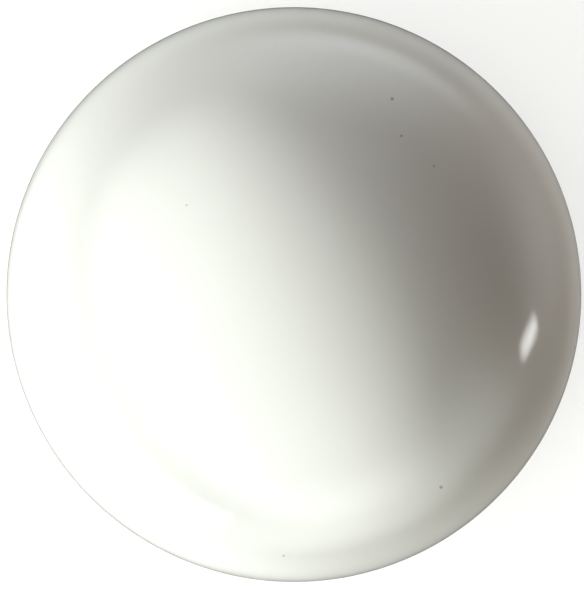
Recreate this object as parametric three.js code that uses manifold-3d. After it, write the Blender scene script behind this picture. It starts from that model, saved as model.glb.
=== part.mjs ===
// A round dome cap for the top of a tubular fence post, in two main parts with concealed fixings.
//
// A moulded collar slips over the end of the post until the post meets a rubber gasket under its roof.
// Three set screws, in brass inserts, are driven inwards against the post.
// A glossy dome cover drops over the collar, hides the screws, and is held by an O-ring in a groove.
// Three keys inside the cover sit in notches of the collar, so the cover lifts straight off and can't spin.
//
// Millimetres, +Z up along the post. The origin is the centre of the collar's underside.

import * as THREE from "three";
import { mergeVertices } from "three/addons/utils/BufferGeometryUtils.js";
import Module from "manifold-3d";

const wasm = await Module();
wasm.setup();

// ---------------------------------------------------------------- driving dimensions

const POST_D = 60.3; // outside diameter of the round post
const SOCKET_DEPTH = 20.5; // from the collar's underside to the gasket that the post's end meets
const CROWN_H = 20; // rise of the dome above the top of the cover's straight skirt
const COLLAR_WALL = 4.4;
const COVER_WALL = 2.6;

const TOUCH = 0.3; // gap kept between pieces that touch
const POST_PLAY = 0.1; // radial play between the post and the crests of the crush ribs
const BOSS_TO_COVER = 1.0; // radial gap from a screw boss to the inside of the cover
const CROWN_OVER_COLLAR = 2.8; // height of the inside of the dome over the collar's top edge

const CRUSH_RIB = { count: 12, wide: 1.6, proud: 0.65, endGap: 1.5 };
const LEAD_IN = 1.2; // chamfer at the mouth of the socket
const FLANGE = { thick: 3, inset: 0.6, edge: 0.5 }; // inset is how far its edge hides inside the cover's
const PRY_NOTCH = { wide: 9, deep: 1.4, angles: [0, 180] };
const ROOF_T = 2.6; // collar's roof, over the gasket
const ROOF_EDGE = 1.5; // chamfer round the roof
const ROOF_RIB = { count: 6, wide: 2, high: 2.4, fromEdge: 4.3 };
const HUB = { r: 5, high: 2.4 };
const VENT = { r: 1, at: 14, angle: 90 }; // lets air out as the cover goes on

const GASKET = { thick: 2.5, wide: 5, seat: 1, edge: 0.3 };
const ORING_D = 3.5; // section of the O-ring
const LAND_ABOVE_GROOVE = 1.9;
const LAND_BELOW_GROOVE = 0.7;

const SCREW = { r: 3, long: 5, socketFlats: 3, socketDeep: 2.6, cupR: 1.5, cupDeep: 0.8, edge: 0.5 };
const SCREW_ANGLES = [90, 210, 330];
const INSERT = { wall: 0.8, waist: 0.45, waistLong: 1.2, edge: 0.3 };
const BOSS = { wall: 1.1, stand: 1.1 }; // plastic round an insert, and how far it stands out of the collar

const KEY = { wide: 2.4, deep: 3, reach: 2.7, angles: [30, 150, 270] }; // reach is inwards from the collar
const STOP_RIB = { wide: 1.6, reach: 9 };
const RIM = { outer: 0.7, inner: 0.6, innerHigh: 1.0 }; // chamfers at the bottom edge of the cover

const AROUND = 64; // facets round the large turned pieces
const SMALL_AROUND = 24; // facets round the screws and inserts
const CROWN_STEPS = 12; // facets from the shoulder of the dome to its top
const ORING_STEPS = 10;
const OVERSHOOT = 1; // how far a cutter runs past the face that it cuts

// ---------------------------------------------------------------- sizes that follow

const postR = POST_D / 2;
const boreR = postR + POST_PLAY + CRUSH_RIB.proud;
const collarR = boreR + COLLAR_WALL;
const bossFaceR = collarR + BOSS.stand;
const coverInnerR = bossFaceR + BOSS_TO_COVER;
const coverR = coverInnerR + COVER_WALL;
const flangeR = coverR - FLANGE.inset;

const seatZ = SOCKET_DEPTH + GASKET.thick + TOUCH; // ceiling of the gasket's recess
const roofUnderZ = seatZ - GASKET.seat;
const roofZ = seatZ + ROOF_T;
const roofR = collarR - ROOF_EDGE;

const gasketR = postR - POST_PLAY;
const gasketInnerR = gasketR - GASKET.wide;

const oringR = coverInnerR - TOUCH - ORING_D / 2; // to the centre of its section
const grooveR = oringR - ORING_D / 2 - TOUCH;
const grooveTopZ = roofUnderZ - LAND_ABOVE_GROOVE;
const grooveZ = grooveTopZ - ORING_D - 2 * TOUCH;
const oringZ = (grooveTopZ + grooveZ) / 2;

const insertBoreR = SCREW.r + TOUCH;
const insertR = insertBoreR + INSERT.wall;
const insertHoleR = insertR + TOUCH;
const bossR = insertHoleR + BOSS.wall;
const bossTopZ = grooveZ - LAND_BELOW_GROOVE;
const screwZ = bossTopZ - bossR;
const insertStartR = boreR + POST_PLAY;
const insertLong = bossFaceR - POST_PLAY - insertStartR;
const screwStartR = insertStartR + POST_PLAY;

const rimZ = FLANGE.thick + TOUCH;
const innerCrownH = CROWN_H - COVER_WALL;
const crownShare = Math.sqrt(1 - (roofR / coverInnerR) ** 2);
const shoulderZ = roofZ + CROWN_OVER_COLLAR - innerCrownH * crownShare;
const notchZ = roofZ - KEY.deep - TOUCH;

// ---------------------------------------------------------------- solids

// A three.js geometry as a manifold-3d solid, with shared corners merged and flat triangles dropped.
function solidOf(geometry) {
  const bare = new THREE.BufferGeometry();
  bare.setAttribute("position", geometry.getAttribute("position"));
  if (geometry.index) bare.setIndex(geometry.index);
  const merged = mergeVertices(bare, 1e-4);
  const corners = merged.index.array;
  const kept = [];
  for (let i = 0; i < corners.length; i += 3) {
    const [a, b, c] = corners.slice(i, i + 3);
    if (a !== b && b !== c && c !== a) kept.push(a, b, c);
  }
  const vertProperties = new Float32Array(merged.attributes.position.array);
  return new wasm.Manifold(new wasm.Mesh({ numProp: 3, vertProperties, triVerts: new Uint32Array(kept) }));
}

function geometryOf(solid) {
  const mesh = solid.getMesh();
  const geometry = new THREE.BufferGeometry();
  geometry.setAttribute("position", new THREE.BufferAttribute(mesh.vertProperties, 3));
  geometry.setIndex(new THREE.BufferAttribute(mesh.triVerts, 1));
  geometry.computeVertexNormals();
  return geometry;
}

// A profile of [radius, height] points, taken anticlockwise with the axis on its left, turned round Z.
// A profile that doesn't start and end on the axis is closed on itself.
function turned(profile, segments = AROUND) {
  const onAxis = profile[0][0] === 0 && profile.at(-1)[0] === 0;
  const outline = onAxis ? profile : [...profile, profile[0]];
  const points = outline.map(([r, z]) => new THREE.Vector2(r, z));
  return solidOf(new THREE.LatheGeometry(points, segments).rotateX(Math.PI / 2));
}

// A block with its lowest corner and its size along X, Y and Z.
function block([x, y, z], [long, wide, high]) {
  const geometry = new THREE.BoxGeometry(long, wide, high);
  return solidOf(geometry.translate(x + long / 2, y + wide / 2, z + high / 2));
}

// A block that lies along a radius: from one radius to another, centred on the X axis, and up from z.
function radialBlock(fromR, toR, wide, z, high) {
  return block([fromR, -wide / 2, z], [toR - fromR, wide, high]);
}

// A round bar along Z, turned about the X axis so that it points outwards from the centre.
function radialBar(fromR, toR, r, z, segments = SMALL_AROUND) {
  const geometry = new THREE.CylinderGeometry(r, r, toR - fromR, segments);
  return solidOf(geometry.rotateZ(-Math.PI / 2).translate((fromR + toR) / 2, 0, z));
}

// The same solid repeated round Z at each angle, in degrees.
const around = (solid, angles) => angles.map((angle) => solid.rotate([0, 0, angle]));
const evenly = (count) => Array.from({ length: count }, (_, i) => (360 * i) / count);
const joined = (base, pieces) => pieces.reduce((whole, piece) => whole.add(piece), base);
const cutBy = (base, pieces) => pieces.reduce((whole, piece) => whole.subtract(piece), base);

// ---------------------------------------------------------------- dome cover

// Half an ellipse from the shoulder, at the outer radius, up to the axis, as [radius, height] points.
function crownCurve(radius, rise) {
  return Array.from({ length: CROWN_STEPS + 1 }, (_, i) => {
    const turn = (Math.PI / 2) * (i / CROWN_STEPS);
    return [i === CROWN_STEPS ? 0 : radius * Math.cos(turn), shoulderZ + rise * Math.sin(turn)];
  });
}

function coverShell() {
  return turned([
    ...crownCurve(coverInnerR, innerCrownH).reverse(),
    [coverInnerR, rimZ + RIM.innerHigh],
    [coverInnerR + RIM.inner, rimZ],
    [coverR - RIM.outer, rimZ],
    [coverR, rimZ + RIM.outer],
    ...crownCurve(coverR, CROWN_H),
  ]);
}

// Everything inside the middle of the shell's wall, used to trim ribs so that they end within the wall.
function coverMiddle() {
  const middle = COVER_WALL / 2;
  return turned([[0, rimZ], [coverR - middle, rimZ], ...crownCurve(coverR - middle, CROWN_H - middle)]);
}

function domeCover() {
  const topZ = shoulderZ + CROWN_H;
  const keyInnerR = collarR - KEY.reach;
  const key = radialBlock(keyInnerR, coverR, KEY.wide, notchZ + TOUCH, topZ - notchZ);
  const stopInnerR = collarR - STOP_RIB.reach;
  const stop = radialBlock(stopInnerR, coverR, STOP_RIB.wide, roofZ + TOUCH, topZ - roofZ);
  const ribs = [...around(key, KEY.angles), ...around(stop, SCREW_ANGLES)];
  const middle = coverMiddle();
  return joined(
    coverShell(),
    ribs.map((rib) => rib.intersect(middle)),
  );
}

// ---------------------------------------------------------------- post collar

function collarBody() {
  return turned([
    [0, roofUnderZ],
    [gasketInnerR - TOUCH, roofUnderZ],
    [gasketInnerR - TOUCH, seatZ],
    [boreR, seatZ],
    [boreR, LEAD_IN],
    [boreR + LEAD_IN, 0],
    [flangeR - FLANGE.edge, 0],
    [flangeR, FLANGE.edge],
    [flangeR, FLANGE.thick],
    [collarR, FLANGE.thick],
    [collarR, grooveZ],
    [grooveR, grooveZ],
    [grooveR, grooveTopZ],
    [collarR, grooveTopZ],
    [collarR, roofZ - ROOF_EDGE],
    [roofR, roofZ],
    [0, roofZ],
  ]);
}

// An upright lug with a round top, joined to the flange below and to the collar's wall behind.
function screwBoss() {
  const lug = new THREE.Shape();
  lug.moveTo(-bossR, FLANGE.thick - OVERSHOOT);
  lug.lineTo(bossR, FLANGE.thick - OVERSHOOT);
  lug.lineTo(bossR, screwZ);
  lug.absarc(0, screwZ, bossR, 0, Math.PI);
  const depth = bossFaceR - boreR - COLLAR_WALL / 2;
  const geometry = new THREE.ExtrudeGeometry(lug, { depth, bevelEnabled: false, curveSegments: 12 });
  return solidOf(geometry.rotateX(Math.PI / 2).rotateZ(Math.PI / 2).translate(bossFaceR - depth, 0, 0));
}

function postCollar() {
  const crushAngles = evenly(CRUSH_RIB.count).filter((angle) => !SCREW_ANGLES.includes(angle));
  const crushHigh = SOCKET_DEPTH - LEAD_IN - 2 * CRUSH_RIB.endGap;
  const crushZ = LEAD_IN + CRUSH_RIB.endGap;
  const { proud } = CRUSH_RIB;
  const crushRib = radialBlock(boreR - proud, boreR + proud, CRUSH_RIB.wide, crushZ, crushHigh);
  const sunkZ = roofZ - OVERSHOOT;
  const roofRibR = collarR - ROOF_RIB.fromEdge;
  const roofRib = radialBlock(0, roofRibR, ROOF_RIB.wide, sunkZ, ROOF_RIB.high + OVERSHOOT);
  const hubTopZ = roofZ + HUB.high;
  const hub = turned([[0, sunkZ], [HUB.r, sunkZ], [HUB.r, hubTopZ], [0, hubTopZ]]);

  const insertHole = radialBar(boreR - OVERSHOOT, bossFaceR + OVERSHOOT, insertHoleR, screwZ);
  const notchInnerR = collarR - KEY.reach - TOUCH;
  const notch = radialBlock(notchInnerR, coverR, KEY.wide + 2 * TOUCH, notchZ, KEY.deep + OVERSHOOT);
  const pryZ = FLANGE.thick - PRY_NOTCH.deep;
  const pryNotch = radialBlock(bossFaceR, coverR, PRY_NOTCH.wide, pryZ, PRY_NOTCH.deep + OVERSHOOT);
  const vent = new THREE.CylinderGeometry(VENT.r, VENT.r, 4 * ROOF_T, SMALL_AROUND);
  const ventHole = solidOf(vent.rotateX(Math.PI / 2).translate(VENT.at, 0, roofZ));

  const added = [
    ...around(screwBoss(), SCREW_ANGLES),
    ...around(crushRib, crushAngles),
    ...around(roofRib, evenly(ROOF_RIB.count)),
    hub,
  ];
  const removed = [
    ...around(insertHole, SCREW_ANGLES),
    ...around(notch, KEY.angles),
    ...around(pryNotch, PRY_NOTCH.angles),
    ventHole.rotate([0, 0, VENT.angle]),
  ];
  return cutBy(joined(collarBody(), added), removed);
}

// ---------------------------------------------------------------- seals

function postEndGasket() {
  const topZ = SOCKET_DEPTH + GASKET.thick;
  const { edge } = GASKET;
  return turned([
    [gasketInnerR, SOCKET_DEPTH + edge],
    [gasketInnerR + edge, SOCKET_DEPTH],
    [gasketR - edge, SOCKET_DEPTH],
    [gasketR, SOCKET_DEPTH + edge],
    [gasketR, topZ],
    [gasketInnerR, topZ],
  ]);
}

function coverORing() {
  const section = Array.from({ length: ORING_STEPS }, (_, i) => {
    const turn = (2 * Math.PI * i) / ORING_STEPS;
    return [oringR + (ORING_D / 2) * Math.cos(turn), oringZ + (ORING_D / 2) * Math.sin(turn)];
  });
  return turned(section);
}

// ---------------------------------------------------------------- inserts and set screws

// Both are turned about Z from z = 0, the end nearest the post, and are laid along a radius afterwards.
function threadInsert() {
  const { edge, waist, waistLong } = INSERT;
  const long = insertLong;
  const waistZ = (long - waistLong) / 2;
  return turned(
    [
      [insertBoreR, 0],
      [insertR - edge, 0],
      [insertR, edge],
      [insertR, waistZ],
      [insertR - waist, waistZ],
      [insertR - waist, waistZ + waistLong],
      [insertR, waistZ + waistLong],
      [insertR, long - edge],
      [insertR - edge, long],
      [insertBoreR, long],
    ],
    SMALL_AROUND,
  );
}

function setScrew() {
  const { r, long, edge, cupR, cupDeep, socketFlats, socketDeep } = SCREW;
  const body = turned(
    [
      [0, cupDeep],
      [cupR, 0],
      [r - edge, 0],
      [r, edge],
      [r, long - edge],
      [r - edge, long],
      [0, long],
    ],
    SMALL_AROUND,
  );
  const hexR = socketFlats / Math.sqrt(3);
  const hex = new THREE.CylinderGeometry(hexR, hexR, socketDeep + OVERSHOOT, 6).rotateX(Math.PI / 2);
  return body.subtract(solidOf(hex.translate(0, 0, long - (socketDeep - OVERSHOOT) / 2)));
}

// ---------------------------------------------------------------- materials

const glossWhite = new THREE.MeshStandardMaterial({ color: 0xf0f0ec, roughness: 0.18, metalness: 0 });
const satinWhite = new THREE.MeshStandardMaterial({ color: 0xd9d9d4, roughness: 0.55, metalness: 0 });
const blackRubber = new THREE.MeshStandardMaterial({ color: 0x1c1c1e, roughness: 0.75, metalness: 0 });
const brass = new THREE.MeshStandardMaterial({ color: 0xc8a04c, roughness: 0.35, metalness: 1 });
const stainless = new THREE.MeshStandardMaterial({ color: 0xb9babc, roughness: 0.3, metalness: 1 });

// ---------------------------------------------------------------- assembly

function part(name, solid, material) {
  const mesh = new THREE.Mesh(geometryOf(solid), material);
  mesh.name = name;
  return mesh;
}

// A group whose own +Z runs outwards along a radius at the height of the screws.
function radialGroup(angle) {
  const turn = new THREE.Group();
  turn.rotation.z = THREE.MathUtils.degToRad(angle);
  const outward = new THREE.Group();
  outward.position.z = screwZ;
  outward.rotation.y = Math.PI / 2;
  turn.add(outward);
  return { turn, outward };
}

const cap = new THREE.Group();
cap.name = "dome_post_cap";
cap.add(part("dome_cover", domeCover(), glossWhite));
cap.add(part("post_collar", postCollar(), satinWhite));
cap.add(part("post_end_gasket", postEndGasket(), blackRubber));
cap.add(part("cover_o_ring", coverORing(), blackRubber));
SCREW_ANGLES.forEach((angle, i) => {
  const { turn, outward } = radialGroup(angle);
  const insert = part(`thread_insert_${i + 1}`, threadInsert(), brass);
  insert.position.z = insertStartR;
  const screw = part(`set_screw_${i + 1}`, setScrew(), stainless);
  screw.position.z = screwStartR;
  outward.add(insert, screw);
  cap.add(turn);
});

export default cap;
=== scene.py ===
import math

import bmesh
import bpy
from mathutils import Matrix, Vector


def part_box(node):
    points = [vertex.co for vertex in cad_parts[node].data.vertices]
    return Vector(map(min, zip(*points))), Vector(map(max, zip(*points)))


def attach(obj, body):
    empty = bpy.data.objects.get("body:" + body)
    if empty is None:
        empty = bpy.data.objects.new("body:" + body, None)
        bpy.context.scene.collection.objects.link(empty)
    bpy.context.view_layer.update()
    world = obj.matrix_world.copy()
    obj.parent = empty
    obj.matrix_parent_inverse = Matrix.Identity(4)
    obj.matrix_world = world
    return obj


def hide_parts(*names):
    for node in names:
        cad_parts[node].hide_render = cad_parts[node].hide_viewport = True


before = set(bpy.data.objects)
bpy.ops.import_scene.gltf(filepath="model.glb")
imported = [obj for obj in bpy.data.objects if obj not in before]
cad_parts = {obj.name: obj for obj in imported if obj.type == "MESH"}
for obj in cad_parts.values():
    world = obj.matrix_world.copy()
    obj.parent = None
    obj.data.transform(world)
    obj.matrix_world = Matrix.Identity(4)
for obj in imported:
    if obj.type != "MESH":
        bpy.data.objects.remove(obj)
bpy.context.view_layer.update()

# The looks of a round dome fence post cap, in millimetres until a mesh is made.
# Each piece is made again, finer, in the place that the frame gives it.

MM = 0.001


def frame_box(node):
    """The lowest and highest corner of a node, in millimetres."""
    low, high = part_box(node)
    return low / MM, high / MM


# ------------------------------------------------------------------ sizes

COVER_WALL = 2.6
CROWN_RISE = 20.0
FLANGE_HIGH = 3.0
BOSS_STAND = 1.1
BOSS_WALL = 1.1
COLLAR_EDGE = 1.5
RIB_HIGH = 2.4
HUB_R = 5.0
GASKET_WIDE = 5.0
GASKET_SEAT = 1.0
O_RING_D = 3.5
FIT_GAP = 0.3
GROOVE_GAP = 0.04
KNURL_BITE = 0.12
INSERT_INSET = 0.1
LEAD_IN = 1.2
CRUSH_PROUD = 0.65
THREAD_PITCH = 1.0

SCREW_ANGLES = (90, 210, 330)
KEY_ANGLES = (30, 150, 270)
PRY_ANGLES = (0, 180)
CRUSH_ANGLES = [30 * step for step in range(12) if 30 * step not in SCREW_ANGLES]
ROOF_RIB_ANGLES = range(0, 360, 60)
PIN_ANGLES = range(0, 360, 60)

cover_low, cover_high = frame_box("dome_cover")
collar_high = frame_box("post_collar")[1]
gasket_low, gasket_high = frame_box("post_end_gasket")
o_ring_low, o_ring_high = frame_box("cover_o_ring")
insert_low, insert_high = frame_box("thread_insert_1")
screw_low, screw_high = frame_box("set_screw_1")

cover_r = cover_high.x
cover_inner_r = cover_r - COVER_WALL
shoulder_z = cover_high.z - CROWN_RISE

flange_r = collar_high.x
bore_r = insert_low.y - INSERT_INSET
boss_face_r = insert_high.y + INSERT_INSET
collar_r = boss_face_r - BOSS_STAND
roof_z = collar_high.z - RIB_HIGH
seat_z = gasket_high.z + FIT_GAP
roof_under_z = seat_z - GASKET_SEAT

gasket_r = gasket_high.x
o_ring_r = o_ring_high.x - O_RING_D / 2
o_ring_z = (o_ring_low.z + o_ring_high.z) / 2
groove_half = O_RING_D / 2 + GROOVE_GAP
groove_r = o_ring_r - groove_half

insert_r = insert_high.x
insert_long = insert_high.y - insert_low.y
screw_r = screw_high.x
screw_long = screw_high.y - screw_low.y
screw_z = (screw_low.z + screw_high.z) / 2
insert_hole_r = insert_r - KNURL_BITE
boss_r = insert_r + FIT_GAP + BOSS_WALL

# ------------------------------------------------------------------ outlines


def rounded(corners, steps=6, closed=True):
    """An outline from corners (x, y, radius), each turned into an arc unless its radius is 0."""
    outline = []
    for i, (x, y, radius) in enumerate(corners):
        at_end = not closed and i in (0, len(corners) - 1)
        here = Vector((x, y))
        if radius == 0 or at_end:
            outline.append(here)
            continue
        back = (Vector(corners[i - 1][:2]) - here).normalized()
        ahead = (Vector(corners[(i + 1) % len(corners)][:2]) - here).normalized()
        half = back.angle(ahead) / 2
        centre = here + (back + ahead).normalized() * radius / math.sin(half)
        start = here + back * radius / math.tan(half) - centre
        sweep = (math.pi - 2 * half) * (1 if back.cross(ahead) < 0 else -1)
        outline += [centre + Matrix.Rotation(sweep * k / steps, 2) @ start for k in range(steps + 1)]
    return outline


def turns(segments):
    """The angles of points evenly spaced round a circle."""
    return [2 * math.pi * k / segments for k in range(segments)]


def circle(radius, z, segments):
    return [(radius * math.cos(a), radius * math.sin(a), z) for a in turns(segments)]


def crown_arc(radius, rise, steps):
    """The crown's quarter of an ellipse, from the shoulder at the full radius to the axis."""
    climbs = [math.pi / 2 * k / steps for k in range(steps)]
    arc = [(radius * math.cos(t), shoulder_z + rise * math.sin(t)) for t in climbs]
    return arc + [(0, shoulder_z + rise)]


def crown_height(off_axis, inset=0):
    """How high the crown is at a distance from the axis, or a surface inset from it."""
    share = off_axis / (cover_r - inset)
    return shoulder_z + (CROWN_RISE - inset) * math.sqrt(1 - share**2)


# ------------------------------------------------------------------ meshes


def piece_from(name, points, faces):
    mesh = bpy.data.meshes.new(name)
    mesh.from_pydata([Vector(p) * MM for p in points], [], faces)
    made = bpy.data.objects.new(name, mesh)
    bpy.context.scene.collection.objects.link(made)
    return made


def skin(name, rings, joined_up=False):
    """A closed skin over rings of points. A ring of one point is a pole."""
    points, starts, faces = [], [], []
    for ring in rings:
        starts.append(len(points))
        points += ring
    pairs = list(zip(range(len(rings)), range(1, len(rings))))
    if joined_up:
        pairs.append((len(rings) - 1, 0))
    for a, b in pairs:
        count = max(len(rings[a]), len(rings[b]))
        for k in range(count):
            after = (k + 1) % count
            lower = [starts[a] + j for j in (k, after)] if len(rings[a]) > 1 else [starts[a]]
            upper = [starts[b] + j for j in (after, k)] if len(rings[b]) > 1 else [starts[b]]
            faces.append(lower + upper)
    return piece_from(name, points, faces)


def turned(name, profile, segments=192, joined_up=False):
    """A profile of (radius, height) turned round Z. A radius of 0 makes a pole."""
    rings = [circle(r, z, segments) if r else [(0, 0, z)] for r, z in profile]
    return skin(name, rings, joined_up)


def extruded(name, outline, low, high):
    """A flat outline of (x, y) taken from one height to another."""
    count = len(outline)
    points = [(x, y, low) for x, y in outline] + [(x, y, high) for x, y in outline]
    faces = [[k, (k + 1) % count, count + (k + 1) % count, count + k] for k in range(count)]
    faces += [list(range(count))[::-1], [count + k for k in range(count)]]
    return piece_from(name, points, faces)


def reshaped(piece, matrix):
    """Turns or moves a piece's own mesh, in millimetres."""
    scaled = matrix.copy()
    scaled.translation *= MM
    piece.data.transform(scaled)
    return piece


SHARP_EDGE = 0.6  # radians


def softened(piece, width, steps, above, below=math.inf):
    """Rounds the sharp edges of a piece that lie between two heights."""
    work = bmesh.new()
    work.from_mesh(piece.data)
    edges = []
    for edge in work.edges:
        heights = [vert.co.z / MM for vert in edge.verts]
        if edge.calc_face_angle(0) > SHARP_EDGE and min(heights) > above and max(heights) < below:
            edges.append(edge)
    bmesh.ops.bevel(work, geom=edges, offset=width * MM, segments=steps, profile=0.5, affect="EDGES")
    work.to_mesh(piece.data)
    work.free()
    return piece


def rubbed_out(piece):
    mesh = piece.data
    bpy.data.objects.remove(piece)
    bpy.data.meshes.remove(mesh)


def combined(base, others, operation):
    """Joins other pieces to base, or cuts them from it, or keeps what they share."""
    for other in others:
        step = base.modifiers.new("combine", "BOOLEAN")
        step.operation = operation
        step.solver = "MANIFOLD"
        step.object = other
    bpy.context.view_layer.update()
    made = bpy.data.meshes.new_from_object(base.evaluated_get(bpy.context.evaluated_depsgraph_get()))
    base.modifiers.clear()
    old, base.data = base.data, made
    bpy.data.meshes.remove(old)
    for other in others:
        rubbed_out(other)
    return base


def around(make, angles):
    """One piece for each angle, in degrees, made on the X axis and turned round Z."""
    return [reshaped(make(), Matrix.Rotation(math.radians(angle), 4, "Z")) for angle in angles]


def shaded(piece, crease=32):
    """Smooth shading that keeps the edges sharper than crease, in degrees."""
    work = bmesh.new()
    work.from_mesh(piece.data)
    bmesh.ops.recalc_face_normals(work, faces=work.faces)
    for face in work.faces:
        face.smooth = True
    for edge in work.edges:
        edge.smooth = edge.calc_face_angle(0) < math.radians(crease)
    work.to_mesh(piece.data)
    work.free()
    return piece


# ------------------------------------------------------------------ dome cover

RIM_ROUND = 0.7
RIM_LEAD = 0.9
RIM_CHAMFER = 0.6
RIM_HIGH = 6.0
INNER_RIB_ROUND, INNER_RIB_SOFT = 0.5, 0.3
KEY_WIDE, KEY_DEEP, KEY_REACH = 2.4, 3.0, 2.7
STOP_WIDE, STOP_REACH = 1.6, 9.0
PIN_R, PIN_DEEP, PIN_OUT, PIN_LONG = 2.2, 0.18, 19.0, 9.0
GATE_R, GATE_LONG = 1.3, 0.7


def cover_shell():
    rim_z = cover_low.z
    straight = rim_z + RIM_HIGH
    inner = crown_arc(cover_inner_r, CROWN_RISE - COVER_WALL, 64)[::-1]
    rim = [
        (cover_inner_r, straight, 0),
        (cover_inner_r, rim_z + RIM_LEAD, RIM_CHAMFER),
        (cover_inner_r + RIM_CHAMFER, rim_z, 0.2),
        (cover_r, rim_z, RIM_ROUND),
        (cover_r, straight, 0),
    ]
    outer = crown_arc(cover_r, CROWN_RISE, 96)
    return turned("moulded_dome_cover", inner + rounded(rim, closed=False) + outer, 256)


def cover_middle():
    """All that lies inside the middle of the shell's wall, for trimming the ribs to."""
    middle = COVER_WALL / 2
    r = cover_r - middle
    skirt = [(0, cover_low.z), (r, cover_low.z)]
    return turned("cover_middle", skirt + crown_arc(r, CROWN_RISE - middle, 48))


def inner_rib(wide, from_r, low):
    half = wide / 2
    corners = [
        (from_r, -half, INNER_RIB_ROUND),
        (cover_r, -half, 0),
        (cover_r, half, 0),
        (from_r, half, INNER_RIB_ROUND),
    ]
    rib = extruded("inner_rib", rounded(corners), low, cover_high.z)
    rib = softened(rib, INNER_RIB_SOFT, 2, low - 1, low + 1)
    return combined(rib, [cover_middle()], "INTERSECT")


def key_rib():
    """Drops into a notch in the collar's roof, so that the cover can't turn."""
    return inner_rib(KEY_WIDE, collar_r - KEY_REACH, roof_z - KEY_DEEP)


def stop_rib():
    """Comes down just short of the collar's roof, so that the cover can't be pushed too far."""
    return inner_rib(STOP_WIDE, collar_r - STOP_REACH, roof_z + FIT_GAP)


def pin_mark():
    """Where an ejector pin pressed the inside of the crown."""
    top = crown_height(PIN_OUT, COVER_WALL) + PIN_DEEP
    mark = turned("pin_mark", [(0, top - PIN_LONG), (PIN_R, top - PIN_LONG), (PIN_R, top), (0, top)], 48)
    lean = math.atan(PIN_OUT / cover_inner_r**2 * (CROWN_RISE - COVER_WALL) ** 2 / (top - shoulder_z))
    tip = Matrix.Translation((PIN_OUT, 0, top))
    return reshaped(mark, tip @ Matrix.Rotation(lean, 4, "Y") @ Matrix.Translation((0, 0, -top)))


def gate_nub():
    """The snipped end of the plastic that filled the mould, at the middle of the crown."""
    top = cover_high.z - COVER_WALL
    tip = top - GATE_LONG
    corners = [(0, tip, 0), (GATE_R * 0.7, tip, 0.2), (GATE_R, top + 0.5, 0), (0, top + 0.5, 0)]
    return turned("gate_nub", rounded(corners, 4, closed=False), 48)


def dome_cover():
    added = around(key_rib, KEY_ANGLES) + around(stop_rib, SCREW_ANGLES) + [gate_nub()]
    cover = combined(cover_shell(), added, "UNION")
    return shaded(combined(cover, around(pin_mark, PIN_ANGLES), "DIFFERENCE"))


# ------------------------------------------------------------------ post collar

WALL_SINK = 2.2
RIB_SHORT = 4.3
SEAM_PROUD = 0.05
VENT_R, VENT_OUT, VENT_HALF = 1.0, 14.0, 4.0
ROOF_PIN_OUT, ROOF_PIN_TURN = 21.0, 30
HUB_DIMPLE_R = 2.2
CRUSH_HALF = 0.8
CRUSH_SINK = 0.2
PRY_WIDE, PRY_DEEP = 9, 1.4
CRUSH_START = LEAD_IN + 1.5
CRUSH_STOP = gasket_low.z - 1.5


def collar_body():
    inner_r = gasket_r - GASKET_WIDE - FIT_GAP
    seam_z = FLANGE_HIGH / 2
    corners = [
        (0, roof_under_z, 0),
        (inner_r, roof_under_z, 0.25),
        (inner_r, seat_z, 0.2),
        (bore_r, seat_z, 0.5),
        (bore_r, LEAD_IN, 0.5),
        (bore_r + LEAD_IN, 0, 0.3),
        (flange_r - SEAM_PROUD, 0, 0.6),
        (flange_r - SEAM_PROUD, seam_z - SEAM_PROUD, 0),
        (flange_r, seam_z, 0),
        (flange_r - SEAM_PROUD, seam_z + SEAM_PROUD, 0),
        (flange_r - SEAM_PROUD, FLANGE_HIGH, 0.25),
        (collar_r, FLANGE_HIGH, 0.6),
        (collar_r, o_ring_z - groove_half, 0.25),
        (groove_r, o_ring_z - groove_half, 0.3),
        (groove_r, o_ring_z + groove_half, 0.3),
        (collar_r, o_ring_z + groove_half, 0.25),
        (collar_r, roof_z - COLLAR_EDGE, 0.5),
        (collar_r - COLLAR_EDGE, roof_z, 0.5),
        (0, roof_z, 0),
    ]
    return turned("moulded_post_collar", rounded(corners, 4, closed=False), 192)


def screw_boss():
    foot_z = FLANGE_HIGH - 1
    arch = [(boss_r * math.cos(t), screw_z + boss_r * math.sin(t)) for t in turns(48)[:25]]
    outline = [(-boss_r, foot_z), (boss_r, foot_z)] + arch
    boss = softened(extruded("screw_boss", outline, 0, boss_face_r - bore_r - WALL_SINK), 0.4, 3, 1)
    lay = Matrix.Rotation(math.pi / 2, 4, "Z") @ Matrix.Rotation(math.pi / 2, 4, "X")
    return reshaped(boss, Matrix.Translation((bore_r + WALL_SINK, 0, 0)) @ lay)


def roof_rib():
    outline = rounded([(-1, -0.5, 0), (1, -0.5, 0), (1, RIB_HIGH, 0.35), (-1, RIB_HIGH, 0.35)], 4)
    rib = extruded("roof_rib", outline, HUB_R - 1, collar_r - RIB_SHORT)
    stand = Matrix.Rotation(math.pi / 2, 4, "Z") @ Matrix.Rotation(math.pi / 2, 4, "X")
    return reshaped(rib, Matrix.Translation((0, 0, roof_z)) @ stand)


def hub():
    """The round boss where the ribs meet, with the dimple that the mould's gate left."""
    high = roof_z + RIB_HIGH
    corners = [
        (0, roof_z - 0.5, 0),
        (HUB_R, roof_z - 0.5, 0),
        (HUB_R, high, 0.4),
        (HUB_DIMPLE_R, high, 0.2),
        (HUB_DIMPLE_R - 0.5, high - 0.5, 0.2),
        (0, high - 0.5, 0),
    ]
    return turned("hub", rounded(corners, 4, closed=False), 96)


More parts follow.
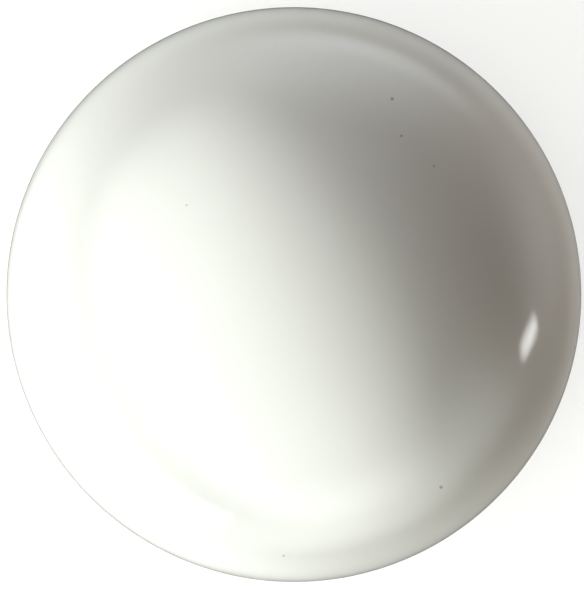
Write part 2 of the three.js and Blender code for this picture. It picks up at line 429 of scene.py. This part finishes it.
def crush_rib():
    """A half-round rib down the bore, with a ramp at its lower end."""
    heights = (CRUSH_START, CRUSH_START + 1.5, CRUSH_START + 2.5, CRUSH_STOP - 0.5, CRUSH_STOP)
    root_r = bore_r + CRUSH_SINK
    deep = bore_r + 0.6
    rings = [[(deep, 0, CRUSH_START)]]
    for z, share in zip(heights, (0.05, 0.8, 1, 1, 0.4)):
        stand = (CRUSH_PROUD + CRUSH_SINK) * share
        crest = [(root_r - stand * math.sin(t), CRUSH_HALF * math.cos(t), z) for t in turns(24)[:13]]
        rings.append(crest + [(bore_r + 1, -CRUSH_HALF, z), (bore_r + 1, CRUSH_HALF, z)])
    return skin("crush_rib", rings + [[(deep, 0, CRUSH_STOP)]])


def insert_hole():
    mouth_r = insert_r + FIT_GAP
    profile = [
        (0, bore_r - 1),
        (insert_hole_r, bore_r - 1),
        (insert_hole_r, boss_face_r - 0.4),
        (mouth_r, boss_face_r),
        (mouth_r, boss_face_r + 1),
        (0, boss_face_r + 1),
    ]
    hole = turned("insert_hole", profile, 72)
    return reshaped(hole, Matrix.Translation((0, 0, screw_z)) @ Matrix.Rotation(math.pi / 2, 4, "Y"))


def notch(name, from_r, wide, corner, low, high):
    """A cutter for a notch that is open outward."""
    half = wide / 2
    corners = [(from_r, -half, corner), (cover_r, -half, 0), (cover_r, half, 0), (from_r, half, corner)]
    return extruded(name, rounded(corners), low, high)


def key_notch():
    from_r = collar_r - KEY_REACH - FIT_GAP
    low = roof_z - KEY_DEEP - FIT_GAP
    return notch("key_notch", from_r, KEY_WIDE + 2 * FIT_GAP, 0.5, low, roof_z + 1)


def pry_notch():
    low = FLANGE_HIGH - PRY_DEEP
    return notch("pry_notch", boss_face_r, PRY_WIDE, 1, low, FLANGE_HIGH + 0.2)


def vent_hole():
    profile = [(0, -VENT_HALF), (VENT_R, -VENT_HALF), (VENT_R, VENT_HALF), (0, VENT_HALF)]
    hole = turned("vent_hole", profile, 48)
    return reshaped(hole, Matrix.Translation((0, VENT_OUT, roof_z)))


def roof_pin_mark():
    mark = turned("roof_pin_mark", [(0, 0), (PIN_R, 0), (PIN_R, 2), (0, 2)], 48)
    spot = Matrix.Translation((ROOF_PIN_OUT, 0, roof_z - PIN_DEEP))
    return reshaped(mark, Matrix.Rotation(math.radians(ROOF_PIN_TURN), 4, "Z") @ spot)


def post_collar():
    added = around(screw_boss, SCREW_ANGLES) + around(roof_rib, ROOF_RIB_ANGLES) + [hub()]
    added += around(crush_rib, CRUSH_ANGLES)
    collar = combined(collar_body(), added, "UNION")
    cutters = around(insert_hole, SCREW_ANGLES) + around(key_notch, KEY_ANGLES)
    cutters += around(pry_notch, PRY_ANGLES) + around(roof_pin_mark, PIN_ANGLES) + [vent_hole()]
    return shaded(combined(collar, cutters, "DIFFERENCE"))


# ------------------------------------------------------------------ seals


def post_end_gasket():
    """A ring stamped from sheet rubber: one edge rolled by the punch, the other crisp."""
    inner = gasket_r - GASKET_WIDE
    low, high = gasket_low.z, gasket_high.z
    corners = [(inner, low, 0.3), (gasket_r, low, 0.3), (gasket_r, high, 0.12), (inner, high, 0.12)]
    return shaded(turned("rubber_post_end_gasket", rounded(corners, 4), 192, joined_up=True))


def cover_o_ring():
    """A moulded ring with a fine line of flash round its inside and outside."""
    flash = 0.05
    section = []
    for k, a in enumerate(turns(48)):
        r = O_RING_D / 2 - 0.03 + (flash if k % 24 == 0 else 0)
        section.append((o_ring_r + r * math.cos(a), o_ring_z + r * math.sin(a)))
    return shaded(turned("rubber_cover_o_ring", section, 192, joined_up=True), 60)


# ------------------------------------------------------------------ inserts and set screws

THREAD_STEPS_PER_MM = 12
KNURL_TEETH = 24
KNURL_DEEP = 0.2
WAIST_HALF, WAIST_DEEP = 0.6, 0.45


def along_radius(piece, from_r, angle):
    """Lays a piece made along Z from 0 along a radius of the cap, at the height of the screws."""
    lay = Matrix.Translation((from_r, 0, screw_z)) @ Matrix.Rotation(math.pi / 2, 4, "Y")
    return reshaped(piece, Matrix.Rotation(math.radians(angle), 4, "Z") @ lay)


def ridge(z, turn):
    """How far up the thread's ridge a point is, from 0 at the root to 1 at the crest."""
    phase = (z / THREAD_PITCH + turn) % 1
    return min(1, max(0, 1.25 - 2.5 * abs(phase - 0.5)))


def threaded_rings(long, segments, radius_at):
    """Rings up a thread. radius_at gives the radius for a ridge and a distance to the nearer end."""
    steps = round(long * THREAD_STEPS_PER_MM)
    rings = []
    for k in range(steps + 1):
        z = long * k / steps
        near_end = min(z, long - z)
        ring = []
        for j, a in enumerate(turns(segments)):
            r = radius_at(ridge(z, j / segments), near_end)
            ring.append((r * math.cos(a), r * math.sin(a), z))
        rings.append(ring)
    return rings


def knurl_ring(z, inset, cut):
    """A ring round the insert, with knurled teeth where cut is 1."""
    segments = KNURL_TEETH * 4
    ring = []
    for j, a in enumerate(turns(segments)):
        tooth = KNURL_DEEP * (abs(j % 4 - 2) / 2) if cut else KNURL_DEEP / 2
        r = insert_r - inset - tooth
        ring.append((r * math.cos(a), r * math.sin(a), z))
    return ring


def thread_insert(number, angle):
    """A brass insert: two knurled bands with a waist between them, and a thread inside."""
    root, crest, mouth = screw_r + 0.35, screw_r + 0.05, 0.4

    def bore(up, near_end):
        return max(root - (root - crest) * up, crest + mouth - near_end)

    middle = insert_long / 2
    upper, lower = middle + WAIST_HALF, middle - WAIST_HALF
    outside = [
        (insert_long, 0.3, 0),
        (insert_long - 0.3, 0, 0),
        (insert_long - 0.35, 0, 1),
        (upper + 0.1, 0, 1),
        (upper, 0.05, 0),
        (upper, WAIST_DEEP, 0),
        (lower, WAIST_DEEP, 0),
        (lower, 0.05, 0),
        (lower - 0.1, 0, 1),
        (0.35, 0, 1),
        (0.3, 0, 0),
        (0, 0.3, 0),
    ]
    rings = threaded_rings(insert_long, KNURL_TEETH * 4, bore)
    rings += [knurl_ring(z, inset, cut) for z, inset, cut in outside]
    made = skin(f"knurled_thread_insert_{number}", rings, joined_up=True)
    return shaded(along_radius(made, insert_low.y, angle), 25)


SCREW_SEGMENTS = 72
THREAD_DEEP = 0.6
HEX_FLAT_HALF = 1.5
HEX_DEEP = 2.6


def hexagon_ring(flat_half, z):
    """A ring that follows a hexagon with flats so far from its middle."""
    ring = []
    for a in turns(SCREW_SEGMENTS):
        off_flat = (a + math.pi / 6) % (math.pi / 3) - math.pi / 6
        r = flat_half / math.cos(off_flat)
        ring.append((r * math.cos(a), r * math.sin(a), z))
    return ring


def set_screw(number, angle):
    """A cup-point set screw: rolled thread, hex socket at the outer end, cup at the post's end."""

    def thread(up, near_end):
        return min(screw_r - 0.02 - THREAD_DEEP * (1 - up), screw_r - 0.95 + near_end * 1.3)

    cup = [(0.4, 0.72), (1.45, 0.06), (1.5, 0.02), (1.6, 0)]
    rings = [[(0, 0, 0.8)]] + [circle(r, z, SCREW_SEGMENTS) for r, z in cup]
    rings += threaded_rings(screw_long, SCREW_SEGMENTS, thread)
    rings.append(circle(HEX_FLAT_HALF * 1.22, screw_long, SCREW_SEGMENTS))
    rings.append(hexagon_ring(HEX_FLAT_HALF, screw_long - 0.2))
    rings.append(hexagon_ring(HEX_FLAT_HALF, screw_long - HEX_DEEP))
    rings.append(circle(HEX_FLAT_HALF * 0.5, screw_long - HEX_DEEP - 0.25, SCREW_SEGMENTS))
    rings.append([(0, 0, screw_long - HEX_DEEP - 0.5)])
    made = skin(f"threaded_set_screw_{number}", rings)
    return shaded(along_radius(made, screw_low.y, angle), 25)


# ------------------------------------------------------------------ finishes


class Wire:
    """A value in a node tree. Arithmetic on it adds Math nodes."""

    def __init__(self, nodes, socket):
        self.nodes = nodes
        self.socket = socket

    def maths(self, operation, first, second=0.0):
        return self.nodes.node("Math", {"operation": operation}, {0: first, 1: second})

    def __add__(self, other):
        return self.maths("ADD", self, other)

    def __sub__(self, other):
        return self.maths("SUBTRACT", self, other)

    def __rsub__(self, other):
        return self.maths("SUBTRACT", other, self)

    def __mul__(self, other):
        return self.maths("MULTIPLY", self, other)

    def __truediv__(self, other):
        return self.maths("DIVIDE", self, other)

    def __abs__(self):
        return self.maths("ABSOLUTE", self)

    __radd__ = __add__
    __rmul__ = __mul__

    def below(self, level, soft):
        """1 where the value is under level, 0 over it, with a soft step between."""
        settings = {"interpolation_type": "SMOOTHSTEP"}
        values = {"Value": self, "From Min": level - soft, "From Max": level + soft}
        values |= {"To Min": 1.0, "To Max": 0.0}
        return self.nodes.node("MapRange", settings, values)

    def above(self, level, soft):
        return 1 - self.below(level, soft)


class Nodes:
    """A node tree to add nodes to."""

    def __init__(self, tree):
        self.tree = tree

    def node(self, kind, settings=None, values=None, output=0):
        """Adds a node, makes its settings, fills its sockets, and gives one of its outputs."""
        made = self.tree.nodes.new("ShaderNode" + kind)
        for setting, value in (settings or {}).items():
            setattr(made, setting, value)
        for socket, value in (values or {}).items():
            if isinstance(value, Wire):
                self.tree.links.new(value.socket, made.inputs[socket])
            else:
                made.inputs[socket].default_value = value
        return Wire(self, made.outputs[output])


class Finish(Nodes):
    """A material, built from a Principled shader and the nodes that vary it."""

    def __init__(self, name, **constant):
        self.material = bpy.data.materials.new(name)
        self.material.use_nodes = True
        super().__init__(self.material.node_tree)
        self.shader = self.tree.nodes["Principled BSDF"]
        for socket, value in constant.items():
            self.shader.inputs[socket.replace("_", " ")].default_value = value
        self.place = self.node("TexCoord", output="Object")

    def noise(self, per_mm, detail=3.0, rough=0.5, stretch=None):
        """Noise from 0 to 1, with so many features to a millimetre."""
        where = self.stretched(stretch) if stretch else self.place
        values = {"Vector": where, "Scale": per_mm / MM, "Detail": detail, "Roughness": rough}
        return self.node("TexNoise", {"noise_dimensions": "3D"}, values)

    def stretched(self, by):
        return self.node("VectorMath", {"operation": "MULTIPLY"}, {0: self.place, 1: by})

    def height(self):
        return self.node("SeparateXYZ", None, {0: self.place}, "Z") / MM

    def off_line(self, x, y):
        """How far a point is from an upright line, in millimetres."""
        values = {0: self.stretched((1, 1, 0)), 1: Vector((x, y, 0)) * MM}
        return self.node("VectorMath", {"operation": "DISTANCE"}, values, "Value") / MM

    def mix(self, share, first, second):
        values = {0: share, 6: first, 7: second}
        return self.node("Mix", {"data_type": "RGBA"}, values, 2)

    def bump(self, height, deep, onto=None):
        """Bump from a height of 0 to 1 that stands for a depth in millimetres."""
        values = {"Height": height, "Distance": deep * MM, "Strength": 1.0}
        if onto:
            values["Normal"] = onto
        return self.node("Bump", None, values)

    def feeds(self, **sockets):
        for socket, value in sockets.items():
            self.tree.links.new(value.socket, self.shader.inputs[socket.replace("_", " ")])
        return self.material


def colour(red, green, blue):
    return (red, green, blue, 1.0)


# How far above the shoulder the painted shade on the lower crown and side reaches, how softly it fades,
# and how dark it is.
RIM_SHADE_OVER, RIM_SHADE_FADE, RIM_SHADE_STRENGTH = 3.2, 3.2, 0.36
SPECK_DARK = 0.55
SPECKS = (
    (13.3, 26.5, 0.22),
    (14.5, 21.4, 0.17),
    (18.9, 17.3, 0.12),
    (20.0, -26.2, 0.22),
    (-1.4, -35.7, 0.15),
    (-14.4, 12.0, 0.12),
)


def gloss_white():
    """The outside of the cover: polished white plastic with orange peel and a few burnt specks, with
    painted shade:
    a thin streaked grey darkening low on the crown and down the side, that darkens the rim."""
    white = Finish("gloss_white_plastic", IOR=1.5)
    base = white.mix(white.noise(0.05, 2), colour(0.80, 0.80, 0.785), colour(0.82, 0.82, 0.805))
    for x, y, size in SPECKS:
        speck = white.off_line(x, y).below(size, size * 0.6)
        base = white.mix(speck * SPECK_DARK, base, colour(0.16, 0.13, 0.10))
    # Painted shade: a streaked grey darkening low on the crown and down the side, standing in for the
    # darker rim.
    streaks = white.noise(0.35, 3, 0.6, stretch=(1, 1, 0.12))
    rim_shade = white.height().below(shoulder_z + RIM_SHADE_OVER, RIM_SHADE_FADE) * (0.85 + 0.3 * streaks)
    base = white.mix(rim_shade * RIM_SHADE_STRENGTH, base, colour(0.34, 0.35, 0.36))
    rough = 0.05 + 0.04 * white.noise(0.12, 3) + 0.12 * white.noise(0.9, 4, 0.6).above(0.66, 0.05)
    peel = white.bump(white.noise(0.45, 2), 0.003)
    return white.feeds(Base_Color=base, Roughness=rough, Normal=peel)


def mould_white():
    """The inside of the cover: the same plastic as it leaves a spark-eroded mould."""
    white = Finish("mould_white_plastic", IOR=1.5)
    base = white.mix(white.noise(0.08, 3), colour(0.74, 0.74, 0.715), colour(0.79, 0.79, 0.765))
    rough = 0.42 + 0.12 * white.noise(0.3, 4)
    grain = white.bump(white.noise(4.0, 3), 0.012)
    return white.feeds(Base_Color=base, Roughness=rough, Normal=grain)


def collar_nylon():
    """Glass-filled nylon: satin, with flow streaks and fibre flecks."""
    nylon = Finish("glass_filled_nylon", IOR=1.53)
    streaks = nylon.noise(0.25, 5, 0.6, stretch=(1, 1, 0.25))
    flecks = nylon.noise(2.6, 2, 0.6).above(0.66, 0.04)
    base = nylon.mix(streaks, colour(0.50, 0.505, 0.49), colour(0.60, 0.60, 0.58))
    base = nylon.mix(flecks * 0.5, base, colour(0.72, 0.72, 0.70))
    rough = 0.46 + 0.14 * streaks
    grain = nylon.bump(nylon.noise(3.0, 3), 0.014, nylon.bump(streaks, 0.03))
    return nylon.feeds(Base_Color=base, Roughness=rough, Normal=grain)


def sheet_rubber():
    """The gasket: matt sheet EPDM with a fine fabric grain and paler dust."""
    rubber = Finish("sheet_rubber", IOR=1.52)
    cloud = rubber.noise(0.2, 5, 0.6)
    base = rubber.mix(cloud, colour(0.018, 0.018, 0.019), colour(0.045, 0.045, 0.046))
    rough = 0.62 + 0.2 * cloud
    grain = rubber.bump(rubber.noise(3.5, 3), 0.03)
    return rubber.feeds(Base_Color=base, Roughness=rough, Normal=grain)


def moulded_rubber():
    """The O-ring: smooth moulded EPDM with a faint bloom."""
    rubber = Finish("moulded_rubber", IOR=1.52)
    bloom = rubber.noise(0.35, 4, 0.6)
    base = rubber.mix(bloom, colour(0.012, 0.012, 0.013), colour(0.035, 0.035, 0.037))
    rough = 0.32 + 0.2 * bloom
    grain = rubber.bump(rubber.noise(2.0, 3), 0.008)
    return rubber.feeds(Base_Color=base, Roughness=rough, Normal=grain)


def insert_brass():
    brass = Finish("turned_brass", Metallic=1.0)
    tarnish = brass.noise(0.9, 4, 0.6)
    base = brass.mix(tarnish, colour(0.76, 0.56, 0.24), colour(0.62, 0.42, 0.17))
    rough = 0.22 + 0.22 * tarnish
    lines = brass.bump(brass.noise(6.0, 2), 0.006)
    return brass.feeds(Base_Color=base, Roughness=rough, Normal=lines)


def screw_steel():
    steel = Finish("stainless_steel", Metallic=1.0)
    stain = steel.noise(0.8, 4, 0.6)
    base = steel.mix(stain, colour(0.60, 0.60, 0.59), colour(0.46, 0.455, 0.44))
    rough = 0.24 + 0.2 * stain
    lines = steel.bump(steel.noise(7.0, 2), 0.005)
    return steel.feeds(Base_Color=base, Roughness=rough, Normal=lines)


# ------------------------------------------------------------------ assembly


def finished(piece, body, node, slot, *materials):
    """Puts a piece in place of a node, on its body, with its finish."""
    piece.data.materials.clear()
    for material in materials:
        piece.data.materials.append(material)
    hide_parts(node)
    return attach(piece, body)


def inside_marked(cover):
    """Gives the second finish to the faces of the cover that don't belong to its outside."""
    for face in cover.data.polygons:
        x, y, z = face.center / MM
        above = max(0, z - shoulder_z)
        reach = math.hypot(math.hypot(x, y) / cover_r, above / CROWN_RISE)
        face.material_index = 0 if reach > 1 - 0.5 / cover_r or z < cover_low.z + 0.2 else 1


cover = dome_cover()
finished(cover, "cover", "dome_cover", "cover_gloss", gloss_white(), mould_white())
inside_marked(cover)
finished(post_collar(), "collar", "post_collar", "collar_nylon", collar_nylon())
finished(post_end_gasket(), "collar", "post_end_gasket", "gasket_rubber", sheet_rubber())
finished(cover_o_ring(), "collar", "cover_o_ring", "o_ring_rubber", moulded_rubber())
brass, steel = insert_brass(), screw_steel()
for number, angle in enumerate(SCREW_ANGLES, 1):
    insert = thread_insert(number, angle)
    finished(insert, "collar", f"thread_insert_{number}", "insert_brass", brass)
    screw = set_screw(number, angle)
    finished(screw, f"set_screw_{number}", f"set_screw_{number}", "screw_steel", steel)

# ------------------------------------------------------------------ camera, floor and light

CAMERA_HIGH = 0.5
CAMERA_ASIDE = (-0.00026, -0.00006)
CROWN_SHARE = 0.9766
OUTLINE_OVER_SHOULDER = 1.5
FLOOR_HALF, FLOOR_DROP = 1500, 0.1
WINDOW_TURN = 28
BOX_SHIFT, BOX_BACK, BOX_HIGH = 0.2, 0.36, 0.8
UNDER_NEAR = 0.7


def camera():
    """Straight down on the dome, which takes up CROWN_SHARE of the view's long side."""
    lens = bpy.data.cameras.new("camera")
    made = bpy.data.objects.new("camera", lens)
    bpy.context.scene.collection.objects.link(made)
    made.location = (*CAMERA_ASIDE, CAMERA_HIGH)
    reach = CAMERA_HIGH - (shoulder_z + OUTLINE_OVER_SHOULDER) * MM
    lens.lens = lens.sensor_width * CROWN_SHARE * reach / (2 * cover_r * MM)
    lens.clip_start = 0.01
    bpy.context.scene.camera = made


def floor():
    """A pale board. What the camera sees of it is lifted, so that it stays pale in the shade."""
    pale = Finish("pale_floor", Roughness=0.6, Emission_Strength=0.68)
    base = pale.mix(pale.noise(0.01, 4), colour(0.29, 0.29, 0.29), colour(0.32, 0.32, 0.315))
    seen = pale.node("LightPath", output="Is Camera Ray")
    lift = pale.mix(seen, colour(0, 0, 0), colour(1, 1, 0.99))
    pale.feeds(Base_Color=base, Emission_Color=lift)
    square = [(-1, -1), (1, -1), (1, 1), (-1, 1)]
    corners = [(x * FLOOR_HALF, y * FLOOR_HALF, -FLOOR_DROP) for x, y in square]
    board = piece_from("floor", corners, [[0, 1, 2, 3]])
    board.data.materials.append(pale.material)
    board.visible_glossy = False
    board.visible_shadow = False


def towards(azimuth, from_zenith):
    """A unit vector at an angle round from +X and an angle down from straight up, in degrees."""
    turn, down = math.radians(azimuth), math.radians(from_zenith)
    return Vector((math.sin(down) * math.cos(turn), math.sin(down) * math.sin(turn), math.cos(down)))


def soft_light(
    name, place, size, glow, tint=(1, 1, 1), aim=(0, 0, 0.03), along=None, feather=None, lights="all"
):
    """A rectangular light that faces a point, as bright as a surface of radiance glow. It lights
    everything, or only what is matt (shade), or only shows in what is glossy (gloss)."""
    data = bpy.data.lights.new(name, "AREA")
    data.shape = "RECTANGLE"
    data.size, data.size_y = size
    data.energy = glow * math.pi * size[0] * size[1]
    data.color = tint
    made = bpy.data.objects.new(name, data)
    bpy.context.scene.collection.objects.link(made)
    back = (Vector(place) - Vector(aim)).normalized()
    side = (Vector(along) if along else Vector((0, 0, 1)).cross(back)).normalized()
    side = (side - back * side.dot(back)).normalized()
    turn = Matrix((side, back.cross(side), back)).transposed().to_4x4()
    made.matrix_world = Matrix.Translation(place) @ turn
    made.visible_camera = False
    made.visible_diffuse = lights != "gloss"
    made.visible_glossy = lights != "shade"
    if feather:
        fade_edges(data, feather)
    return made


def fade_edges(data, shares):
    """Fades a light towards its ends and its sides, over shares of its half length and half width."""
    data.use_nodes = True
    nodes = Nodes(data.node_tree)
    fade = 1.0
    for axis, share in zip("XY", shares):
        across = nodes.node("NewGeometry", output="Parametric")
        off_middle = abs(nodes.node("SeparateXYZ", None, {0: across}, axis) - 0.5)
        fade = off_middle.below(0.5 - share / 4, share / 4) * fade
    data.node_tree.links.new(fade.socket, data.node_tree.nodes["Emission"].inputs["Strength"])


def studio():
    """A low window on one side, weak fill opposite, and soft cards for the gloss to pick up."""
    white, cool = (0.96, 1.0, 0.945), (0.85, 0.94, 1.0)
    soft_light("low_window", towards(222, 71), (1.15, 0.3), 15.1, white)
    soft_light("side_window", towards(164, 72), (1.0, 0.3), 6.8, white, lights="shade")
    soft_light("far_wall", towards(80, 75), (1.0, 0.3), 3.7, (1.0, 0.985, 0.96), lights="shade")
    soft_light("right_wall", towards(350, 80), (1.0, 0.3), 2.1, (1.0, 0.87, 0.68), lights="shade")

    across = towards(WINDOW_TURN, 90)
    along = Vector((across.y, -across.x, 0))
    over = along * BOX_SHIFT - across * BOX_BACK
    place = over + Vector((0, 0, BOX_HIGH))
    soft_light("long_box", place, (4.0, 1.55), 8.3, (0.96, 1.0, 0.92), over, along, (0.9, 0.8), "gloss")

    faded = {"feather": (1, 1), "lights": "gloss"}
    soft_light("far_card", towards(82, 72), (1.6, 1.2), 2.3, cool, **faded)
    soft_light("low_far_card", towards(72, 86), (1.6, 0.5), 1.7, cool, **faded)
    soft_light("right_card", towards(5, 80), (1.6, 0.9), 1.1, (0.95, 0.95, 1.0), **faded)
    soft_light("under_card", towards(355, 128) * UNDER_NEAR, (2.2, 1.6), 0.62, **faded)
    soft_light("far_under_card", towards(88, 122) * UNDER_NEAR, (1.8, 1.0), 0.65, cool, **faded)
    soft_light("near_card", towards(283, 68), (1.4, 1.0), 5.4, white, **faded)
    soft_light("near_right_card", towards(322, 62), (1.0, 1.0), 1.9, (0.9, 0.98, 0.95), **faded)

    lamp = towards(349.7, 72.8)
    slant = Vector((0.179, 0.984, -0.8))
    soft_light("small_lamp", lamp, (0.24, 0.2), 12, along=slant, feather=(0.6, 1.0), lights="gloss")

    world = bpy.data.worlds.new("room")
    world.use_nodes = True
    world.node_tree.nodes["Background"].inputs["Color"].default_value = colour(1.0, 0.7, 0.5)
    world.node_tree.nodes["Background"].inputs["Strength"].default_value = 0.03
    bpy.context.scene.world = world
    bpy.context.scene.view_settings.view_transform = "Standard"


camera()
floor()
studio()
